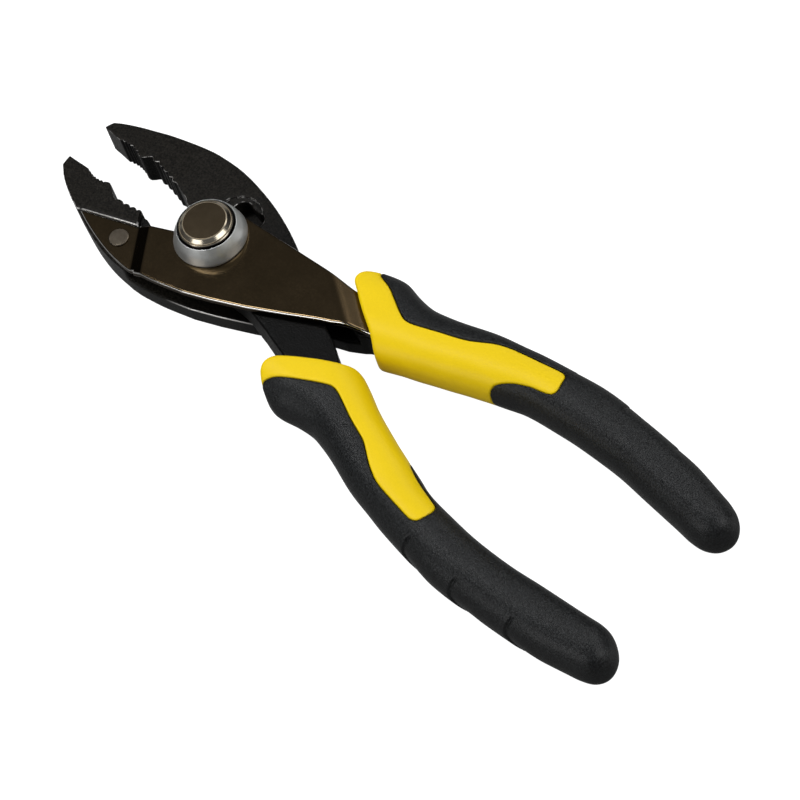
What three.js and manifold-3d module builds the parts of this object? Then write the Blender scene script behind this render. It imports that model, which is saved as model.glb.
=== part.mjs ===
// Slip-joint pliers with a push-button lock, about 200 mm long.
// Millimetres. The pivot axis is Z through the origin; z = 0 is the flat back of the joint.
// +X runs from the jaws to the handle ends, +Y is the side of the moving jaw and the fixed grip.
import * as THREE from 'three';
import { mergeVertices } from 'three/addons/utils/BufferGeometryUtils.js';
import Module from 'manifold-3d';

const wasm = await Module();
wasm.setup();

// ---- driving dimensions (mm) ----
const GAP = 0.3;               // clearance between neighbouring pieces
const JAW_TOP = 10.4;          // front face of both jaws
const CHEEK_TOP = 5.0;         // front face of the rear cheek
const LAYER_Z0 = 5.3;          // back face of the moving half inside the joint
const PAD_Z0 = 8.6;            // underside of the plate where it is riveted down
const PAD_Z1 = 10.4;           // front of the plate where it is riveted down
const PLATE_Z0 = 10.7;         // underside of the raised span of the plate
const PLATE_Z1 = 12.5;         // front of the raised span
const TIP_THIN = 0.6;          // the jaws lose this much on each face at the tip
const HUB_R = 9.0;             // rear cheek around the pivot
const MOVING_HUB_R = 9.2;      // moving half around the pivot
const PLATE_HUB_R = 9.5;       // front plate around the pivot
const SLOT_HALF = 4.95;        // half width of the slip slot
const SLOT_END = 13.5;         // slot end from the pivot axis
const SLOT_TILT = 5;           // degrees from +Y toward +X
const BARREL_R = 3.6, BARREL_BORE = 2.35, BARREL_HEAD_R = 6.2, BARREL_HEAD_T = 1.6, BARREL_TOP = 14.7;
const COLLAR_FLOOR = 13.4;      // top of the collar's inner flange
const RING_Z0 = 13.55, RING_Z1 = 14.15, RING_R = 4.05, RING_GROOVE_R = 3.1;
const COLLAR_BASE_R = 9.2, COLLAR_TOP_R = 7.9, COLLAR_Z0 = 12.75, COLLAR_TOP = 17.5, COLLAR_BORE = 7.35;
const BUTTON_R = 7.05, BUTTON_FACE_R = 5.75, BUTTON_TOP = 19.2, BUTTON_SKIRT = 15.7, BUTTON_ROOF = 18.3;
const STEM_R = 2.1, PIN_R = 0.8, PIN_Z = 8.7;
const KEY_Z0 = 7.2, KEY_Z1 = 10.2, KEY_R = 4.7;
const SPRING_R = 5.0, SPRING_WIRE = 0.4, SPRING_TURNS = 3;
const RIVET = [-19.6, -13.9], RIVET_R = 1.5, RIVET_HEAD_R = 2.55;
const TAIL_RIVETS = [[46.6, 8.9], [52.8, 11.0]], TAIL_RIVET_R = 1.3;
const GRIP_Z = 5.2;            // mid height of the grips

// ---- helpers ----
function toManifold(geo) {
  const g = geo.clone();
  g.deleteAttribute('normal');
  if (g.attributes.uv) g.deleteAttribute('uv');
  const m = mergeVertices(g, 1e-5);
  return new wasm.Manifold(new wasm.Mesh({
    numProp: 3,
    vertProperties: new Float32Array(m.attributes.position.array),
    triVerts: new Uint32Array(m.index.array),
  }));
}
function prism(points, z0, z1) {
  const shape = new THREE.Shape(points.map(([x, y]) => new THREE.Vector2(x, y)));
  const g = new THREE.ExtrudeGeometry(shape, { depth: z1 - z0, bevelEnabled: false, steps: 1 });
  g.translate(0, 0, z0);
  return toManifold(g);
}
function lathe(profile, segments = 40) {
  const g = new THREE.LatheGeometry(profile.map(([r, z]) => new THREE.Vector2(r, z)), segments);
  g.rotateX(Math.PI / 2);
  return toManifold(g);
}
function cylinder(x, y, r, z0, z1, segments = 28) {
  const g = new THREE.CylinderGeometry(r, r, z1 - z0, segments);
  g.rotateX(Math.PI / 2);
  g.translate(x, y, (z0 + z1) / 2);
  return toManifold(g);
}
function cylinderX(r, halfLength, z, segments = 20) {
  const g = new THREE.CylinderGeometry(r, r, 2 * halfLength, segments);
  g.rotateZ(Math.PI / 2);
  g.translate(0, 0, z);
  return toManifold(g);
}
function box(x0, x1, y0, y1, z0, z1) {
  const g = new THREE.BoxGeometry(x1 - x0, y1 - y0, z1 - z0);
  g.translate((x0 + x1) / 2, (y0 + y1) / 2, (z0 + z1) / 2);
  return toManifold(g);
}
function loft(rings) {
  const n = rings[0].length, pos = [], idx = [];
  for (const ring of rings) for (const p of ring) pos.push(...p);
  for (let i = 0; i + 1 < rings.length; i++) for (let j = 0; j < n; j++) {
    const a = i * n + j, b = i * n + (j + 1) % n, c = a + n, d = b + n;
    idx.push(a, b, d, a, d, c);
  }
  for (const end of [0, rings.length - 1]) {
    const c = [0, 0, 0];
    for (const p of rings[end]) for (let k = 0; k < 3; k++) c[k] += p[k] / n;
    const ci = pos.length / 3;
    pos.push(...c);
    for (let j = 0; j < n; j++) {
      const a = end * n + j, b = end * n + (j + 1) % n;
      if (end === 0) idx.push(ci, b, a); else idx.push(ci, a, b);
    }
  }
  const g = new THREE.BufferGeometry();
  g.setAttribute('position', new THREE.Float32BufferAttribute(pos, 3));
  g.setIndex(idx);
  let m = toManifold(g);
  if (m.volume() < 0) {
    for (let t = 0; t < idx.length; t += 3) { const q = idx[t]; idx[t] = idx[t + 1]; idx[t + 1] = q; }
    g.setIndex(idx);
    m = toManifold(g);
  }
  return m;
}
const rad = (d) => d * Math.PI / 180;
function arc(cx, cy, r, a0, a1, n) {
  const out = [];
  for (let i = 0; i <= n; i++) {
    const a = rad(a0 + (a1 - a0) * i / n);
    out.push([cx + r * Math.cos(a), cy + r * Math.sin(a)]);
  }
  return out;
}
const mirrorY = (pts, s = 0) => pts.map(([x, y]) => [x, s - y]);

// ---- gripping edge shared by both jaws: smooth pad, fine serrations, ridge, coarse pipe teeth ----
function grippingEdge() {
  const e = [[-48.6, -5.0], [-43.3, -4.6]];
  const fineN = 8, fine0 = -43.3, fine1 = -35.3;
  for (let i = 0; i < fineN; i++) {
    const p = (fine1 - fine0) / fineN, x = fine0 + p * i;
    const base = (t) => -4.6 - 0.5 * Math.sin(Math.PI * t) + 0.25 * t;
    e.push([x + 0.5 * p, base((i + 0.5) / fineN) - 0.4]);
    e.push([x + p, base((i + 1) / fineN)]);
  }
  e.push([-34.6, -4.15], [-33.6, -4.3]);
  const coarseN = 6, c0 = -33.6, c1 = -20.6;
  for (let i = 0; i < coarseN; i++) {
    const p = (c1 - c0) / coarseN, x = c0 + p * i;
    const base = (t) => -4.3 - 1.0 * Math.sin(Math.PI * Math.min(1, t * 1.05)) - 0.4 * t;
    e.push([x + 0.55 * p, base((i + 0.5) / coarseN) - 0.9]);
    e.push([x + p, base((i + 1) / coarseN)]);
  }
  e.push([-19.2, -5.2], [-17.5, -5.9], [-15.8, -6.4]);
  return e;
}
const EDGE = grippingEdge();
const JAW_MIRROR = 1.7;                       // the jaws face each other across y = 0.85

// thins the jaws toward the tip on both faces
function tipTaper(m) {
  const w = (z0, z1, zt) => {
    const s = new THREE.Shape([[-60, z0], [-60, zt], [-20, z1]].map(([x, z]) => new THREE.Vector2(x, z)));
    const g = new THREE.ExtrudeGeometry(s, { depth: 80, bevelEnabled: false });
    g.rotateX(Math.PI / 2);
    g.translate(0, 40, 0);
    return toManifold(g);
  };
  const k = TIP_THIN * 40 / 28.6;
  return m.subtract(w(JAW_TOP + 3, JAW_TOP, JAW_TOP - k)).subtract(w(-3, 0, k));
}

// ---- fixed half forging: jaw at full thickness, thin rear cheek, tang ----
const FIX_OUTER = [[-12.4, -18.8], [-19.7, -18.4], [-26.9, -16.9], [-34.6, -14.4], [-40.0, -12.5], [-45.2, -10.0], [-47.9, -7.7]];
const LOWER_EDGE = [[46.0, 3.7], [43.0, 2.1], [40.0, 1.0], [37.6, -0.2], [29.7, -4.5], [21.6, -8.7], [13.0, -12.6], [6.2, -15.3], [-1.7, -17.3], [-6.6, -18.2]];
const jawBlock = [...EDGE, [-14.6, -11.0], [-12.7, -17.4], ...FIX_OUTER];
const jawFront = [...EDGE, [-34.8, -13.6], [-35.4, -14.1], [-40.0, -12.5], [-45.2, -10.0], [-47.9, -7.7]];
const SLOT_COVER = [[-6.3, 9.4], [-5.5, 12.6], [-4.0, 14.5], [-1.2, 15.3], [2.4, 15.2], [6.0, 14.2], [10.0, 12.7], [16.0, 11.2]];   // lobe of the rear cheek behind the slot
const cheek = [...EDGE.slice(-2), ...arc(0, 0, HUB_R, 200, 135, 8), ...SLOT_COVER, [37.0, 11.4], [46.0, 13.6], ...LOWER_EDGE, ...FIX_OUTER.slice(0, 3)];
const tangRoot = [[25.6, 10.5], [30.0, 8.6], [38.4, 5.3], [46.0, 4.2], [46.0, 13.6], [37.0, 11.4]];
const TANG = [[44.0, 8.7, 4.7], [50.0, 10.5, 4.4], [56.5, 12.5, 4.1], [62.0, 14.2, 3.7], [68.0, 16.0, 3.4], [80.3, 19.7, 3.2], [92.7, 22.2, 3.0], [105.5, 23.2, 2.8], [116.0, 23.2, 2.4]];
function tangOutline(list, grow) {
  const left = [], right = [];
  list.forEach(([x, y, h], i) => {
    const a = list[Math.max(0, i - 1)], b = list[Math.min(list.length - 1, i + 1)];
    const dx = b[0] - a[0], dy = b[1] - a[1], l = Math.hypot(dx, dy);
    const ex = (i === list.length - 1 ? grow : i === 0 ? -grow : 0);
    left.push([x - dy / l * (h + grow) + ex, y + dx / l * (h + grow)]);
    right.push([x + dy / l * (h + grow) + ex, y - dx / l * (h + grow)]);
  });
  return [...left, ...right.reverse()];
}
const TANG_FRONT = TANG.slice(0, 4), TANG_REAR = TANG.slice(2);

let fixedJaw = prism(cheek, 0, CHEEK_TOP)
  .add(prism(jawBlock, 0, PAD_Z0 - 0.2))
  .add(prism(jawFront, PAD_Z0 - 1.2, JAW_TOP))
  .add(prism(tangRoot, 0, PAD_Z0 - 0.2))
  .add(prism(tangOutline(TANG_FRONT, 0), 0, PAD_Z0 - 0.2))
  .add(prism(tangOutline(TANG_REAR, 0), 1.5, PAD_Z0 - 0.2));
fixedJaw = tipTaper(fixedJaw)
  .subtract(cylinder(0, 0, BARREL_R + 0.25, -1, 6, 40))
  .subtract(cylinder(0, 0, BARREL_HEAD_R + 0.25, -1, BARREL_HEAD_T + 0.25, 40))
  .subtract(cylinder(...RIVET, RIVET_R + 0.25, -1, 12))
  .subtract(cylinder(...TAIL_RIVETS[0], TAIL_RIVET_R + 0.25, -1, 12))
  .subtract(cylinder(...TAIL_RIVETS[1], TAIL_RIVET_R + 0.25, -1, 12));

// ---- front plate: raised span over the moving half, stepped down and riveted at both ends ----
const plateOutline = [
  [-34.2, -14.2], [-18.6, -8.6], [-14.5, -7.2], ...arc(0, 0, PLATE_HUB_R, 207, 76, 16), [37.8, 11.8], [46.0, 12.9], [55.0, 15.2], [56.5, 11.0],
  [54.0, 7.6], [49.8, 5.4], [44.6, 4.4], [42.0, 3.2], ...LOWER_EDGE.slice(3, 10), [-10.8, -18.5], [-12.4, -18.6], [-19.7, -18.2], [-26.9, -16.7], [-33.4, -14.8],
];
// wedge-shaped cutter: profile (u, z) swept along a line through p with direction d; u grows to the left of d
function sweptCutter(p, d, profile) {
  const l = Math.hypot(...d), dx = d[0] / l, dy = d[1] / l;
  const s = new THREE.Shape(profile.map(([u, z]) => new THREE.Vector2(u, z)));
  const g = new THREE.ExtrudeGeometry(s, { depth: 160, bevelEnabled: false });
  g.translate(0, 0, -80);
  // local (u, z, along) -> world
  g.applyMatrix4(new THREE.Matrix4().set(-dy, 0, dx, p[0], dx, 0, dy, p[1], 0, 1, 0, 0, 0, 0, 0, 1));
  let m;
  try { m = toManifold(g); } catch (e) { m = null; }
  if (!m || m.volume() < 0) {
    const i = g.index, pos = g.attributes.position;
    const order = i ? Array.from(i.array) : Array.from({ length: pos.count }, (_, k) => k);
    for (let t = 0; t < order.length; t += 3) { const q = order[t]; order[t] = order[t + 1]; order[t + 1] = q; }
    g.setIndex(order);
    m = toManifold(g);
  }
  return m;
}
const JOG1_P = [-18.3, -8.3], JOG1_D = [7.3, -9.2];   // foot of the step at the jaw; the span lies to its left
const JOG2_P = [36.9, 10.6], JOG2_D = [-9.7, 5.8];     // foot of the bend at the handle end
const STEP = 3.5;
const under = [[0.5, 7], [0.5, PAD_Z0], [0.5 + STEP, PLATE_Z0], [150, PLATE_Z0], [150, 7]];
const over = [[-150, 14], [-150, PAD_Z1], [0, PAD_Z1], [STEP, PLATE_Z1], [STEP, 14]];
const frontPlate = prism(plateOutline, PAD_Z0, PLATE_Z1)
  .subtract(sweptCutter(JOG1_P, JOG1_D, under).intersect(sweptCutter(JOG2_P, JOG2_D, under)))
  .subtract(sweptCutter(JOG1_P, JOG1_D, over))
  .subtract(sweptCutter(JOG2_P, JOG2_D, over))
  .subtract(cylinder(0, 0, BARREL_R + 0.25, 0, 20, 40))
  .subtract(cylinder(...RIVET, RIVET_R + 0.25, 0, 20))
  .subtract(cylinder(...TAIL_RIVETS[0], TAIL_RIVET_R + 0.25, 0, 20))
  .subtract(cylinder(...TAIL_RIVETS[1], TAIL_RIVET_R + 0.25, 0, 20));

const jawRivet = lathe([[0, 0.1], [RIVET_R, 0.1], [RIVET_R, PAD_Z1 + 0.15], [RIVET_HEAD_R, PAD_Z1 + 0.15], [RIVET_HEAD_R, PAD_Z1 + 0.35], [RIVET_HEAD_R - 0.3, PAD_Z1 + 0.5], [0, PAD_Z1 + 0.5]], 28)
  .translate([RIVET[0], RIVET[1], 0]);
const tailRivets = TAIL_RIVETS.map((p) => cylinder(...p, TAIL_RIVET_R, 0.1, PAD_Z1, 24));

// ---- moving half forging: thick jaw, thin slotted layer through the joint, tang ----
const MOV_EDGE = mirrorY(EDGE, JAW_MIRROR);
const MOV_OUTER = [[46.7, -3.0], [43.2, -1.1], [38.3, 0.7], [30.0, 4.7], [25.0, 7.7], [19.6, 10.7], [14.0, 13.0], [8.4, 15.0], [2.5, 16.6], [-4.5, 17.9], [-10.7, 18.5], [-17.0, 18.3], [-20.9, 17.8], [-26.0, 16.7], [-32.6, 14.9], [-36.6, 13.5], [-40.9, 12.0], [-45.2, 10.1], [-47.6, 8.8]];
const movLayer = [...MOV_EDGE.slice(0, -2), [-18.0, 5.9], [-13.3, 3.4], ...arc(0, 0, MOVING_HUB_R, 162, 288, 14), [12.0, -8.2], [20.0, -8.5], [29.0, -9.5], [37.0, -10.8], [46.0, -13.2], ...MOV_OUTER];
const movJaw = [...MOV_EDGE.slice(0, -2), [-18.0, 6.2], [-14.4, 5.2], [-10.6, 6.6], [-10.6, 18.5], ...MOV_OUTER.slice(11)];
const movTangRoot = [[25.8, -9.2], [29.2, -7.8], [37.4, -4.3], [43.0, -2.7], [46.7, -3.0], [46.0, -13.2], [37.0, -10.8], [29.0, -9.5]];
function slotOutline() {
  const c = Math.cos(rad(SLOT_TILT)), s = Math.sin(rad(SLOT_TILT));
  const place = ([x, y]) => [x * c + y * s, -x * s + y * c];
  const local = [...arc(0, 0, SLOT_HALF, 180, 360, 20), ...arc(SLOT_HALF - 2.6, SLOT_END - 2.6, 2.6, 0, 120, 8), ...arc(-(SLOT_HALF - 2.6), SLOT_END - 2.6, 2.6, 60, 180, 8)];
  return local.map(place);
}
let movingJaw = prism(movLayer, LAYER_Z0, JAW_TOP)
  .add(prism(movJaw, 0, JAW_TOP - 1))
  .add(prism(movTangRoot, 0, JAW_TOP - 1))
  .add(prism(mirrorY(tangOutline(TANG_FRONT, 0)), 0, JAW_TOP))
  .add(prism(mirrorY(tangOutline(TANG_REAR, 0)), 1.5, PAD_Z0 - 0.2));
movingJaw = tipTaper(movingJaw)
  .subtract(prism(slotOutline(), 0, 20))
  .subtract(cylinder(-0.6, 8.5, 6.3, JAW_TOP - 0.5, 20, 36));

// ---- pivot: barrel, collar, button, stem, spring, lock key and its cross pin ----
const pivotBarrel = lathe([[0, 0], [BARREL_HEAD_R, 0], [BARREL_HEAD_R, BARREL_HEAD_T], [BARREL_R, BARREL_HEAD_T], [BARREL_R, RING_Z0 - 0.1], [RING_GROOVE_R, RING_Z0 - 0.1], [RING_GROOVE_R, RING_Z1 + 0.1], [BARREL_R, RING_Z1 + 0.1], [BARREL_R, BARREL_TOP], [BARREL_BORE, BARREL_TOP], [BARREL_BORE, 1.4], [0, 1.4]])
  .subtract(box(-6, 6, -1.1, 1.1, 5.6, 9.8));
const pivotCollar = lathe([[BARREL_R + 0.25, COLLAR_Z0], [COLLAR_BASE_R, COLLAR_Z0], [COLLAR_BASE_R, COLLAR_Z0 + 0.5], [COLLAR_TOP_R, COLLAR_TOP], [COLLAR_BORE, COLLAR_TOP], [COLLAR_BORE, COLLAR_FLOOR], [BARREL_R + 0.25, COLLAR_FLOOR], [BARREL_R + 0.25, COLLAR_Z0]], 48);
// snap ring in the groove of the barrel, open on one side
const retainingRing = prism([...arc(0, 0, RING_R, 20, 340, 32), ...arc(0, 0, RING_GROOVE_R + 0.15, 340, 20, 32)], RING_Z0, RING_Z1);
const pushButton = lathe([[0, BUTTON_ROOF], [BUTTON_R - 0.85, BUTTON_ROOF], [BUTTON_R - 0.85, BUTTON_SKIRT], [BUTTON_R, BUTTON_SKIRT], [BUTTON_R, COLLAR_TOP + 0.2], [BUTTON_FACE_R, BUTTON_TOP], [0, BUTTON_TOP]], 48);
const buttonStem = cylinder(0, 0, STEM_R, 3.6, BUTTON_ROOF - 0.25, 32).subtract(cylinderX(PIN_R + 0.25, 6, PIN_Z));
const crossPin = cylinderX(PIN_R, 4.4, PIN_Z);
function keyOutline() {
  const c = Math.cos(rad(SLOT_TILT)), s = Math.sin(rad(SLOT_TILT));
  const place = ([x, y]) => [x * c + y * s, -x * s + y * c];
  const local = [...arc(0, 0, KEY_R, 180, 360, 20), [4.55, 2.2], ...arc(2.2, 3.7, 2.3, 0, 110, 7), ...arc(-2.2, 3.7, 2.3, 70, 180, 7), [-4.55, 2.2]];
  return local.map(place);
}
const lockKey = prism(keyOutline(), KEY_Z0, KEY_Z1)
  .subtract(cylinder(0, 0, BARREL_R + 0.2, 0, 20, 40))
  .subtract(cylinderX(PIN_R + 0.25, 8, PIN_Z));
function helix() {
  const rings = [], n = 14 * SPRING_TURNS, z0 = COLLAR_FLOOR + 0.1 + SPRING_WIRE, z1 = BUTTON_ROOF - 0.1 - SPRING_WIRE;
  for (let i = 0; i <= n; i++) {
    const t = i / n, a = t * SPRING_TURNS * 2 * Math.PI, z = z0 + (z1 - z0) * t, ring = [];
    for (let j = 0; j < 7; j++) {
      const b = j / 7 * 2 * Math.PI, r = SPRING_R + SPRING_WIRE * Math.cos(b);
      ring.push([r * Math.cos(a), r * Math.sin(a), z + SPRING_WIRE * Math.sin(b)]);
    }
    rings.push(ring);
  }
  return loft(rings);
}
const buttonSpring = helix();

// ---- grips: outer point, inner point, half thickness at each station from the slanted front to the end ----
const GRIP = [
  [[36.0, 17.0], [51.0, 4.4], 6.2], [[36.9, 19.4], [53.0, 3.6], 7.2], [[40.6, 21.6], [56.2, 3.9], 7.6], [[46.0, 22.1], [60.5, 5.1], 7.7], [[52.0, 20.9], [65.0, 6.6], 7.6],
  [[58.0, 21.2], [69.5, 8.1], 7.4], [[65.0, 22.9], [74.5, 9.8], 7.3], [[72.7, 25.4], [79.5, 11.5], 7.2], [[80.4, 27.2], [85.5, 13.4], 7.2], [[88.0, 28.7], [91.5, 15.0], 7.2],
  [[96.0, 29.9], [98.2, 15.8], 7.2], [[104.0, 30.5], [105.0, 16.3], 7.2], [[113.0, 30.3], [112.3, 16.4], 7.2], [[122.0, 29.7], [120.3, 16.0], 7.1], [[131.0, 28.9], [129.3, 15.2], 7.0],
  [[139.0, 27.6], [137.0, 14.5], 6.9], [[144.5, 26.4], [142.0, 14.0], 6.6], [[148.3, 24.8], [146.3, 14.8], 5.6], [[150.4, 22.6], [149.6, 17.0], 3.4],
];
// the grip of the fixed half is a little shorter than the other one
function shorter(x, side) {
  const t = Math.min(1, Math.max(0, (x - 60) / 85));
  return side > 0 ? x - 1.6 * t * t * (3 - 2 * t) : x;
}
function gripLoft(inset, first, last, side, points = 22) {
  const rings = [];
  for (let i = first; i <= last; i++) {
    const [o, n, b] = GRIP[i];
    const cx = (o[0] + n[0]) / 2, cy = (o[1] + n[1]) / 2, wx = (o[0] - n[0]) / 2, wy = (o[1] - n[1]) / 2, l = Math.hypot(wx, wy);
    const ring = [];
    for (let j = 0; j < points; j++) {
      const a = j / points * 2 * Math.PI, p = 2 / 2.5;
      const u = Math.sign(Math.cos(a)) * Math.abs(Math.cos(a)) ** p, v = Math.sign(Math.sin(a)) * Math.abs(Math.sin(a)) ** p;
      ring.push([shorter(cx + wx / l * u * (l - inset), side), side * (cy + wy / l * u * (l - inset)), GRIP_Z + v * (b - inset)]);
    }
    rings.push(ring);
  }
  return loft(rings);
}
// front face of the two-tone split: the core shows inside this outline, the cover outside it
const SPLIT = [[38.9, 20.9], [39.7, 18.9], [42.4, 17.4], [46.4, 15.3], [50.6, 12.9], [53.6, 11.7], [55.6, 11.5], [57.6, 12.0], [60.0, 13.0], [62.0, 14.0], [65.4, 15.4], [68.6, 16.4], [71.8, 17.9], [75.0, 19.9], [78.5, 21.7], [82.5, 22.9], [87.0, 23.9], [91.0, 24.6], [93.0, 24.9], [94.6, 24.4], [95.7, 22.9], [96.0, 20.9], [95.7, 19.2], [94.4, 18.2], [90.0, 17.1], [86.3, 15.6], [84.4, 14.3], [83.6, 12.2]];
const coreWindow = [[28, 8], [28, 26], [38.7, 26], ...SPLIT, [83.4, 0], [46, 0]];
function shrunk(pts, d) {
  // the cover starts a little beyond the core: shift each split point along its local normal
  return pts.map((p, i) => {
    const a = pts[Math.max(0, i - 1)], b = pts[Math.min(pts.length - 1, i + 1)];
    const dx = b[0] - a[0], dy = b[1] - a[1], l = Math.hypot(dx, dy);
    return [p[0] - dy / l * d, p[1] + dx / l * d];
  });
}
const coverWindow = [[28, 8], [28, 26.4], [38.7 + GAP, 26.4], ...shrunk(SPLIT, GAP), [83.4 + GAP, 0], [46, 0]];
function grip(side) {
  const flip = (pts) => (side > 0 ? pts : mirrorY(pts));
  const fit = (pts) => flip(pts.map(([x, y]) => [shorter(x, side), y]));
  const outer = gripLoft(0, 0, GRIP.length - 1, side);
  const inner = gripLoft(2.3, 1, 12, side);
  const innerClear = gripLoft(2.3 - GAP, 1, 13, side, 22);
  const hole = prism(flip(tangOutline(TANG_FRONT, GAP)), -GAP, JAW_TOP + GAP)
    .add(prism(flip([[34, 4], [34, 16.2], [46.0, 13.9], [55.3, 15.6], [57, 11], [54.2, 7.2], [49.8, 5.0], [46.5, 3.2], [40, 0]]), -GAP, JAW_TOP + GAP))
    .add(prism(flip(tangOutline(TANG_REAR, GAP)), 1.5 - GAP, PAD_Z0 - 0.2 + GAP));
  const core = outer.intersect(prism(fit(coreWindow), -20, 40)).add(inner).subtract(hole);
  const cover = outer.subtract(prism(fit(coverWindow), -20, 40)).subtract(innerClear).subtract(hole);
  return [core, cover];
}
const [fixedCore, fixedCover] = grip(1);
const [movingCore, movingCover] = grip(-1);

// ---- materials and assembly ----
const STEEL = { color: 0x201e1e, roughness: 0.55, metalness: 0.6 };
const NICKEL = { color: 0x30261a, roughness: 0.3, metalness: 0.9 };
const ZINC = { color: 0xc4c8ca, roughness: 0.35, metalness: 1.0 };
const PIN = { color: 0x5c5244, roughness: 0.4, metalness: 0.9 };
const YELLOW = { color: 0xe8cd14, roughness: 0.45, metalness: 0.0 };
const RUBBER = { color: 0x282a2c, roughness: 0.8, metalness: 0.0 };
const group = new THREE.Group();
group.name = 'slip_joint_pliers';
function addPart(name, m, mat) {
  const pieces = m.decompose();
  let best = pieces[0];
  for (const p of pieces) if (p.volume() > best.volume()) best = p;
  if (pieces.length > 1) console.error(name, 'pieces', pieces.map((p) => +p.volume().toFixed(3)).join(' '));
  const mesh = best.getMesh();
  const g = new THREE.BufferGeometry();
  g.setAttribute('position', new THREE.Float32BufferAttribute(mesh.vertProperties, 3));
  g.setIndex(new THREE.Uint32BufferAttribute(mesh.triVerts, 1));
  g.computeVertexNormals();
  const part = new THREE.Mesh(g, new THREE.MeshStandardMaterial(mat));
  part.name = name;
  group.add(part);
}
addPart('fixed_jaw', fixedJaw, STEEL);
addPart('front_plate', frontPlate, NICKEL);
addPart('jaw_rivet', jawRivet, PIN);
addPart('tail_rivet_front', tailRivets[0], PIN);
addPart('tail_rivet_rear', tailRivets[1], PIN);
addPart('fixed_grip_core', fixedCore, YELLOW);
addPart('fixed_grip_cover', fixedCover, RUBBER);
addPart('pivot_barrel', pivotBarrel, STEEL);
addPart('pivot_collar', pivotCollar, ZINC);
addPart('retaining_ring', retainingRing, PIN);
addPart('push_button', pushButton, NICKEL);
addPart('button_stem', buttonStem, STEEL);
addPart('cross_pin', crossPin, PIN);
addPart('lock_key', lockKey, STEEL);
addPart('button_spring', buttonSpring, ZINC);
addPart('moving_jaw', movingJaw, STEEL);
addPart('moving_grip_core', movingCore, YELLOW);
addPart('moving_grip_cover', movingCover, RUBBER);

export default group;
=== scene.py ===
"""Looks of a pair of slip-joint pliers with a push-button lock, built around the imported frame.

Shapes are worked out in millimetres as signed distance fields on a grid and turned into quad meshes, or lathed from
profiles, and stored in metres. The pivot axis is Z through the origin, +X runs from the jaws to the handle ends.
"""
import math
import bmesh
import bpy
import numpy as np
from mathutils import Matrix, Vector


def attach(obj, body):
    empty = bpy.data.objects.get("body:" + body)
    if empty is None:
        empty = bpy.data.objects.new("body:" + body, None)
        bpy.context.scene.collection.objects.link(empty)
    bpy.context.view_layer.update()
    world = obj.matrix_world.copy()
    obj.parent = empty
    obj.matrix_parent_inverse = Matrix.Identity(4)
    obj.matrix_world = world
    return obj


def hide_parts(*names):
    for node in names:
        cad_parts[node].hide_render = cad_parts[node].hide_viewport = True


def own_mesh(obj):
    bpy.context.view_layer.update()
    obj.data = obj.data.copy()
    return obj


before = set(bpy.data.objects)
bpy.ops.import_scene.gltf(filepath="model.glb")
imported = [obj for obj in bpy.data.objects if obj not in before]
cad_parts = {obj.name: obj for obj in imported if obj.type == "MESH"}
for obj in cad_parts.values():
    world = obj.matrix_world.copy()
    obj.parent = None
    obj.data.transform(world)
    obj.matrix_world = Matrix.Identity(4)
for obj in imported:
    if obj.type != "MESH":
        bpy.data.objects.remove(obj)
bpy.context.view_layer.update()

MM = 0.001

# ------------------------------------------------------------------------------------------------ sizes (mm)
JAW_TOP, CHEEK_TOP, LAYER_Z0 = 10.4, 5.0, 5.3
PAD_TOP, PLATE_TOP, PLATE_T = 10.5, 12.5, 1.8
GRIP_Z = 5.2
RIVET = (-19.6, -13.9)
F32 = np.float32


# ------------------------------------------------------------------------------------------------ distance fields
def axis_points(*runs):
    """Grid coordinates along one axis: (start, end, step) runs that follow each other."""
    out = []
    for a, b, s in runs:
        n = max(1, int(round((b - a) / s)))
        out.append(np.linspace(a, b, n + 1)[(1 if out else 0):])
    return np.concatenate(out).astype(F32)


def poly_field(xs, ys, poly):
    """Signed distance to a closed polygon over the grid xs, ys; negative inside."""
    px, py = np.meshgrid(xs, ys, indexing="ij")
    d2 = np.full(px.shape, 1e9, F32)
    inside = np.zeros(px.shape, bool)
    p = np.asarray(poly, F32)
    for (ax, ay), (bx, by) in zip(p, np.roll(p, -1, 0)):
        ex, ey = bx - ax, by - ay
        l2 = ex * ex + ey * ey
        if l2 < 1e-12:
            continue
        wx, wy = px - ax, py - ay
        t = np.clip((wx * ex + wy * ey) / l2, 0, 1)
        dx, dy = wx - ex * t, wy - ey * t
        np.minimum(d2, dx * dx + dy * dy, out=d2)
        if ay != by:
            c = ((ay <= py) & (by > py)) | ((by <= py) & (ay > py))
            inside ^= c & (px < ax + (py - ay) / (by - ay) * ex)
    d = np.sqrt(d2)
    return np.where(inside, -d, d).astype(F32)


def rmax(a, b, r):
    """Intersection with its edge rounded to radius r."""
    u, v = np.maximum(a + r, 0), np.maximum(b + r, 0)
    return np.minimum(np.maximum(a, b), -r) + np.sqrt(u * u + v * v)


def smin(a, b, k):
    """Union with a fillet of about k."""
    h = np.clip(0.5 + 0.5 * (b - a) / k, 0, 1)
    return b + (a - b) * h - k * h * (1 - h)


def smooth(t):
    t = np.clip(t, 0, 1)
    return t * t * (3 - 2 * t)


def catmull(points, per=8, closed=False):
    """A smooth line through the points."""
    p = np.asarray(points, float)
    n = len(p)
    out = []
    last = n if closed else n - 1
    for i in range(last):
        a = p[(i - 1) % n] if closed or i > 0 else 2 * p[0] - p[1]
        b, c = p[i], p[(i + 1) % n]
        d = p[(i + 2) % n] if closed or i + 2 < n else 2 * p[-1] - p[-2]
        for j in range(per):
            t = j / per
            out.append(0.5 * ((2 * b) + (c - a) * t + (2 * a - 5 * b + 4 * c - d) * t * t + (3 * b - a - 3 * c + d) * t ** 3))
    if not closed:
        out.append(p[-1])
    return [tuple(q) for q in out]


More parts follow.
